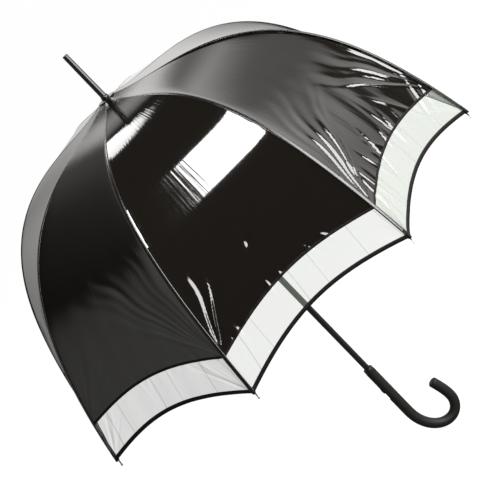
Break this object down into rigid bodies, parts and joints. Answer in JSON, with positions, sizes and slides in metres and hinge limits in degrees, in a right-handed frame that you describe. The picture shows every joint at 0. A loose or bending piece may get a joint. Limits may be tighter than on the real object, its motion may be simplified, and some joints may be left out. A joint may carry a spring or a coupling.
{
  "type": "dome umbrella",
  "caption": "Deep dome umbrella with a black film cover, a clear band at the hem, a hinged rib frame on a slim shaft, and a crook handle with an opening button.",
  "frame": {"origin": "on the shaft's axis in the middle of the straight grip", "axes": "+Z along the shaft towards the ferrule; the crook bends towards +Y and the push button is on -Y; the middle of a gore faces +X"},
  "size_m": [0.7762, 0.7762, 0.9122],
  "materials": {
    "black_film": "high-gloss black film",
    "clear_film": "clear film with a faint milky tint",
    "gloss_black": "gloss black",
    "shaft": "satin black paint",
    "grip": "soft-touch black, fine texture",
    "black_plastic": "moulded black",
    "frame_paint": "black lacquered steel and rod",
    "steel": "plain steel"
  },
  "bodies": {
    "root": {"shaft_tube": "shaft", "ferrule": "gloss_black", "crown_cap": "gloss_black", "top_notch": "black_plastic", "crook_handle": "grip", "handle_collar": "black_plastic", "drive_spring": "steel", "button_spring": "steel"},
    "rib_1": {"rib_upper_1": "frame_paint", "canopy_gore_1": "black_film"},
    "rod_1": {"rib_lower_1": "frame_paint", "rib_tip_1": "steel", "clear_band_1": "clear_film"},
    "arm_1": {"stretcher_1": "frame_paint"},
    "rib_2": {"rib_upper_2": "frame_paint", "canopy_gore_2": "black_film"},
    "rod_2": {"rib_lower_2": "frame_paint", "rib_tip_2": "steel", "clear_band_2": "clear_film"},
    "arm_2": {"stretcher_2": "frame_paint"},
    "rib_3": {"rib_upper_3": "frame_paint", "canopy_gore_3": "black_film"},
    "rod_3": {"rib_lower_3": "frame_paint", "rib_tip_3": "steel", "clear_band_3": "clear_film"},
    "arm_3": {"stretcher_3": "frame_paint"},
    "rib_4": {"rib_upper_4": "frame_paint", "canopy_gore_4": "black_film"},
    "rod_4": {"rib_lower_4": "frame_paint", "rib_tip_4": "steel", "clear_band_4": "clear_film"},
    "arm_4": {"stretcher_4": "frame_paint"},
    "rib_5": {"rib_upper_5": "frame_paint", "canopy_gore_5": "black_film"},
    "rod_5": {"rib_lower_5": "frame_paint", "rib_tip_5": "steel", "clear_band_5": "clear_film"},
    "arm_5": {"stretcher_5": "frame_paint"},
    "rib_6": {"rib_upper_6": "frame_paint", "canopy_gore_6": "black_film"},
    "rod_6": {"rib_lower_6": "frame_paint", "rib_tip_6": "steel", "clear_band_6": "clear_film"},
    "arm_6": {"stretcher_6": "frame_paint"},
    "rib_7": {"rib_upper_7": "frame_paint", "canopy_gore_7": "black_film"},
    "rod_7": {"rib_lower_7": "frame_paint", "rib_tip_7": "steel", "clear_band_7": "clear_film"},
    "arm_7": {"stretcher_7": "frame_paint"},
    "rib_8": {"rib_upper_8": "frame_paint", "canopy_gore_8": "black_film"},
    "rod_8": {"rib_lower_8": "frame_paint", "rib_tip_8": "steel", "clear_band_8": "clear_film"},
    "arm_8": {"stretcher_8": "frame_paint"},
    "runner_set": {"runner": "black_plastic", "drive_plunger": "steel"},
    "button_set": {"push_button": "black_plastic", "latch_pawl": "steel"}
  },
  "joints": [
    {"name": "rib_fold_1", "type": "hinge", "parent": "root", "child": "rib_1", "pos_m": [0.00344, -0.00831, 0.694], "axis": [0.9239, 0.3827, 0], "range_deg": [0, 63], "stiffness_Nm_per_rad": 1.5, "springref_deg": -143.24, "deforming": ["canopy_gore_1", "drive_spring"]},
    {"name": "rib_flex_1", "type": "hinge", "parent": "rib_1", "child": "rod_1", "pos_m": [0.11063, -0.2671, 0.59222], "axis": [0.9239, 0.3827, 0], "range_deg": [-39, 0], "deforming": ["clear_band_1"]},
    {"name": "stretcher_hinge_1", "type": "hinge", "parent": "rib_1", "child": "arm_1", "pos_m": [0.11063, -0.2671, 0.59222], "axis": [0.9239, 0.3827, 0], "range_deg": [-127, 0]},
    {"name": "rib_fold_2", "type": "hinge", "parent": "root", "child": "rib_2", "pos_m": [0.00831, -0.00344, 0.694], "axis": [0.3827, 0.9239, 0], "range_deg": [0, 63], "deforming": ["canopy_gore_2"]},
    {"name": "rib_flex_2", "type": "hinge", "parent": "rib_2", "child": "rod_2", "pos_m": [0.2671, -0.11063, 0.59222], "axis": [0.3827, 0.9239, 0], "range_deg": [-39, 0], "deforming": ["clear_band_2"]},
    {"name": "stretcher_hinge_2", "type": "hinge", "parent": "rib_2", "child": "arm_2", "pos_m": [0.2671, -0.11063, 0.59222], "axis": [0.3827, 0.9239, 0], "range_deg": [-127, 0]},
    {"name": "rib_fold_3", "type": "hinge", "parent": "root", "child": "rib_3", "pos_m": [0.00831, 0.00344, 0.694], "axis": [-0.3827, 0.9239, 0], "range_deg": [0, 63], "deforming": ["canopy_gore_3"]},
    {"name": "rib_flex_3", "type": "hinge", "parent": "rib_3", "child": "rod_3", "pos_m": [0.2671, 0.11063, 0.59222], "axis": [-0.3827, 0.9239, 0], "range_deg": [-39, 0], "deforming": ["clear_band_3"]},
    {"name": "stretcher_hinge_3", "type": "hinge", "parent": "rib_3", "child": "arm_3", "pos_m": [0.2671, 0.11063, 0.59222], "axis": [-0.3827, 0.9239, 0], "range_deg": [-127, 0]},
    {"name": "rib_fold_4", "type": "hinge", "parent": "root", "child": "rib_4", "pos_m": [0.00344, 0.00831, 0.694], "axis": [-0.9239, 0.3827, 0], "range_deg": [0, 63], "deforming": ["canopy_gore_4"]},
    {"name": "rib_flex_4", "type": "hinge", "parent": "rib_4", "child": "rod_4", "pos_m": [0.11063, 0.2671, 0.59222], "axis": [-0.9239, 0.3827, 0], "range_deg": [-39, 0], "deforming": ["clear_band_4"]},
    {"name": "stretcher_hinge_4", "type": "hinge", "parent": "rib_4", "child": "arm_4", "pos_m": [0.11063, 0.2671, 0.59222], "axis": [-0.9239, 0.3827, 0], "range_deg": [-127, 0]},
    {"name": "rib_fold_5", "type": "hinge", "parent": "root", "child": "rib_5", "pos_m": [-0.00344, 0.00831, 0.694], "axis": [-0.9239, -0.3827, 0], "range_deg": [0, 63], "deforming": ["canopy_gore_5"]},
    {"name": "rib_flex_5", "type": "hinge", "parent": "rib_5", "child": "rod_5", "pos_m": [-0.11063, 0.2671, 0.59222], "axis": [-0.9239, -0.3827, 0], "range_deg": [-39, 0], "deforming": ["clear_band_5"]},
    {"name": "stretcher_hinge_5", "type": "hinge", "parent": "rib_5", "child": "arm_5", "pos_m": [-0.11063, 0.2671, 0.59222], "axis": [-0.9239, -0.3827, 0], "range_deg": [-127, 0]},
    {"name": "rib_fold_6", "type": "hinge", "parent": "root", "child": "rib_6", "pos_m": [-0.00831, 0.00344, 0.694], "axis": [-0.3827, -0.9239, 0], "range_deg": [0, 63], "deforming": ["canopy_gore_6"]},
    {"name": "rib_flex_6", "type": "hinge", "parent": "rib_6", "child": "rod_6", "pos_m": [-0.2671, 0.11063, 0.59222], "axis": [-0.3827, -0.9239, 0], "range_deg": [-39, 0], "deforming": ["clear_band_6"]},
    {"name": "stretcher_hinge_6", "type": "hinge", "parent": "rib_6", "child": "arm_6", "pos_m": [-0.2671, 0.11063, 0.59222], "axis": [-0.3827, -0.9239, 0], "range_deg": [-127, 0]},
    {"name": "rib_fold_7", "type": "hinge", "parent": "root", "child": "rib_7", "pos_m": [-0.00831, -0.00344, 0.694], "axis": [0.3827, -0.9239, 0], "range_deg": [0, 63], "deforming": ["canopy_gore_7"]},
    {"name": "rib_flex_7", "type": "hinge", "parent": "rib_7", "child": "rod_7", "pos_m": [-0.2671, -0.11063, 0.59222], "axis": [0.3827, -0.9239, 0], "range_deg": [-39, 0], "deforming": ["clear_band_7"]},
    {"name": "stretcher_hinge_7", "type": "hinge", "parent": "rib_7", "child": "arm_7", "pos_m": [-0.2671, -0.11063, 0.59222], "axis": [0.3827, -0.9239, 0], "range_deg": [-127, 0]},
    {"name": "rib_fold_8", "type": "hinge", "parent": "root", "child": "rib_8", "pos_m": [-0.00344, -0.00831, 0.694], "axis": [0.9239, -0.3827, 0], "range_deg": [0, 63], "deforming": ["canopy_gore_8"]},
    {"name": "rib_flex_8", "type": "hinge", "parent": "rib_8", "child": "rod_8", "pos_m": [-0.11063, -0.2671, 0.59222], "axis": [0.9239, -0.3827, 0], "range_deg": [-39, 0], "deforming": ["clear_band_8"]},
    {"name": "stretcher_hinge_8", "type": "hinge", "parent": "rib_8", "child": "arm_8", "pos_m": [-0.11063, -0.2671, 0.59222], "axis": [0.9239, -0.3827, 0], "range_deg": [-127, 0]},
    {"name": "runner_hinge", "type": "hinge", "parent": "arm_1", "child": "runner_set", "pos_m": [0.00344, -0.00831, 0.49044], "axis": [0.9239, 0.3827, 0], "range_deg": [0, 64]},
    {"name": "button_press", "type": "slide", "parent": "root", "child": "button_set", "axis": [0, 1, 0], "range_m": [0, 0.0012], "stiffness_N_per_m": 600, "springref_m": -0.002, "deforming": ["button_spring"]}
  ],
  "couplings": [
    {"joint": "rib_flex_1", "follows": "rib_fold_1", "ratio": -0.61},
    {"joint": "stretcher_hinge_1", "follows": "rib_fold_1", "ratio": -2},
    {"joint": "rib_fold_2", "follows": "rib_fold_1", "ratio": 1},
    {"joint": "rib_flex_2", "follows": "rib_fold_1", "ratio": -0.61},
    {"joint": "stretcher_hinge_2", "follows": "rib_fold_1", "ratio": -2},
    {"joint": "rib_fold_3", "follows": "rib_fold_1", "ratio": 1},
    {"joint": "rib_flex_3", "follows": "rib_fold_1", "ratio": -0.61},
    {"joint": "stretcher_hinge_3", "follows": "rib_fold_1", "ratio": -2},
    {"joint": "rib_fold_4", "follows": "rib_fold_1", "ratio": 1},
    {"joint": "rib_flex_4", "follows": "rib_fold_1", "ratio": -0.61},
    {"joint": "stretcher_hinge_4", "follows": "rib_fold_1", "ratio": -2},
    {"joint": "rib_fold_5", "follows": "rib_fold_1", "ratio": 1},
    {"joint": "rib_flex_5", "follows": "rib_fold_1", "ratio": -0.61},
    {"joint": "stretcher_hinge_5", "follows": "rib_fold_1", "ratio": -2},
    {"joint": "rib_fold_6", "follows": "rib_fold_1", "ratio": 1},
    {"joint": "rib_flex_6", "follows": "rib_fold_1", "ratio": -0.61},
    {"joint": "stretcher_hinge_6", "follows": "rib_fold_1", "ratio": -2},
    {"joint": "rib_fold_7", "follows": "rib_fold_1", "ratio": 1},
    {"joint": "rib_flex_7", "follows": "rib_fold_1", "ratio": -0.61},
    {"joint": "stretcher_hinge_7", "follows": "rib_fold_1", "ratio": -2},
    {"joint": "rib_fold_8", "follows": "rib_fold_1", "ratio": 1},
    {"joint": "rib_flex_8", "follows": "rib_fold_1", "ratio": -0.61},
    {"joint": "stretcher_hinge_8", "follows": "rib_fold_1", "ratio": -2},
    {"joint": "runner_hinge", "follows": "rib_fold_1", "ratio": 1}
  ]
}
